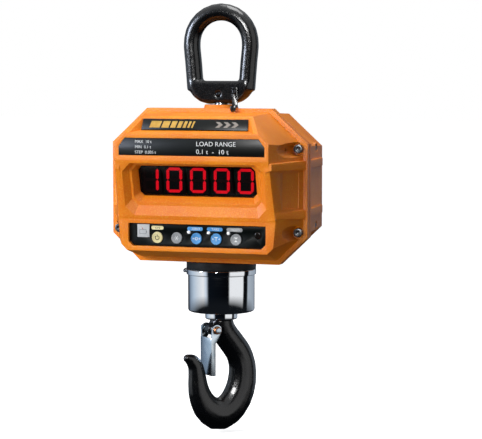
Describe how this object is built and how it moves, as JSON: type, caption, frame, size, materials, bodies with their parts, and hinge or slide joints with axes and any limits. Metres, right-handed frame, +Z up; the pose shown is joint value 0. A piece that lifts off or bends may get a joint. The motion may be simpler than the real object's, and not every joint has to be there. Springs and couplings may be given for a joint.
{
  "type": "crane scale",
  "caption": "Hanging crane scale: suspension ring, octagonal orange housing with red readout and keys, chromed swivel cup, and swivel hook with safety latch.",
  "frame": {"origin": "crown of the suspension ring's eye, where the crane's hook carries the scale", "axes": "+Z up along the load axis, -Y towards the display side, +X to the right seen from the display side"},
  "size_m": [0.304, 0.2082, 0.6446],
  "materials": {
    "housing_orange": "textured powder coat on die-cast aluminium",
    "black_enamel": "gloss enamel on forged steel",
    "bare_steel": "machined",
    "chrome": "mirror plated",
    "zinc_plate": "bright zinc plated sheet",
    "black_rubber": "moulded",
    "black_acrylic": "gloss back-printed plate",
    "window_acrylic": "dark tinted, polished",
    "led_red": "lit seven-segment modules",
    "circuit_board": "solder-masked laminate",
    "battery_case": "moulded",
    "key_cream": "moulded",
    "key_grey": "moulded",
    "key_blue": "moulded",
    "lamp_white": "diffusing",
    "copper_plate": "copper-coloured plated nut"
  },
  "bodies": {
    "scale_body": {"suspension_ring": "black_enamel", "ring_cross_pin": "bare_steel", "ring_lock_tab": "black_enamel", "lock_tab_screw": "bare_steel", "load_cell": "bare_steel", "chassis": "zinc_plate", "chassis_bolt": "bare_steel", "main_board": "circuit_board", "front_housing": "housing_orange", "rear_housing": "housing_orange", "housing_gasket": "black_rubber", "battery_door_pin": "bare_steel", "battery_pack": "battery_case", "name_plate": "black_acrylic", "capacity_plate": "black_acrylic", "display_window": "window_acrylic", "display_board": "circuit_board", "key_panel": "black_acrylic", "key_board": "circuit_board", "lamp_zero": "lamp_white", "lamp_tare": "lamp_white", "lamp_hold": "lamp_white", "low_battery_lamp": "lamp_white", "ir_lens": "window_acrylic", "cup_collar": "black_rubber", "cup_band": "chrome", "cup_band_screw": "bare_steel", "swivel_cup": "chrome", "swivel_head": "bare_steel", "bearing_lower_race": "bare_steel", "bearing_roller_cage": "bare_steel", "housing_screw_upper_left": "bare_steel", "side_screw_upper_left": "bare_steel", "housing_screw_upper_right": "bare_steel", "side_screw_upper_right": "bare_steel", "housing_screw_lower_left": "bare_steel", "side_screw_lower_left": "bare_steel", "housing_screw_lower_right": "bare_steel", "side_screw_lower_right": "bare_steel", "digit_module_1": "led_red", "digit_module_2": "led_red", "digit_module_3": "led_red", "digit_module_4": "led_red", "digit_module_5": "led_red"},
    "hook_swivel_body": {"bearing_upper_race": "bare_steel", "hook_nut": "bare_steel", "hook_nut_pin": "bare_steel", "hook_collar": "chrome", "hook": "black_enamel", "latch_pin": "bare_steel", "latch_nut": "copper_plate", "latch_spring": "bare_steel"},
    "latch": {"latch": "zinc_plate"},
    "battery_door": {"battery_door": "housing_orange"},
    "battery_door_lock": {"battery_door_lock": "bare_steel"},
    "key_power": {"key_power": "key_cream"},
    "key_light": {"key_light": "key_grey"},
    "key_zero": {"key_zero": "key_blue"},
    "key_tare": {"key_tare": "key_blue"},
    "key_hold": {"key_hold": "key_grey"}
  },
  "joints": [
    {"name": "hook_swivel", "type": "hinge", "parent": "scale_body", "child": "hook_swivel_body", "pos_m": [0, 0, -0.42], "axis": [0, 0, 1], "continuous": true},
    {"name": "latch_pivot", "type": "hinge", "parent": "hook_swivel_body", "child": "latch", "pos_m": [-0.01159, -0.01243, -0.463], "axis": [0.7314, -0.682, 0], "range_deg": [0, 31], "stiffness_Nm_per_rad": 0.2, "springref_deg": -34.38},
    {"name": "door_hinge", "type": "hinge", "parent": "scale_body", "child": "battery_door", "pos_m": [-0.0826, 0.0696, -0.272], "axis": [0, 0, 1], "range_deg": [0, 110]},
    {"name": "door_lock_turn", "type": "hinge", "parent": "battery_door", "child": "battery_door_lock", "pos_m": [0.084, 0.068, -0.272], "axis": [0, 1, 0], "range_deg": [0, 90]},
    {"name": "key_power_press", "type": "slide", "parent": "scale_body", "child": "key_power", "axis": [0, 1, 0], "range_m": [0, 0.0008], "stiffness_N_per_m": 2500},
    {"name": "key_light_press", "type": "slide", "parent": "scale_body", "child": "key_light", "axis": [0, 1, 0], "range_m": [0, 0.0008], "stiffness_N_per_m": 2500},
    {"name": "key_zero_press", "type": "slide", "parent": "scale_body", "child": "key_zero", "axis": [0, 1, 0], "range_m": [0, 0.0008], "stiffness_N_per_m": 2500},
    {"name": "key_tare_press", "type": "slide", "parent": "scale_body", "child": "key_tare", "axis": [0, 1, 0], "range_m": [0, 0.0008], "stiffness_N_per_m": 2500},
    {"name": "key_hold_press", "type": "slide", "parent": "scale_body", "child": "key_hold", "axis": [0, 1, 0], "range_m": [0, 0.0008], "stiffness_N_per_m": 2500}
  ]
}
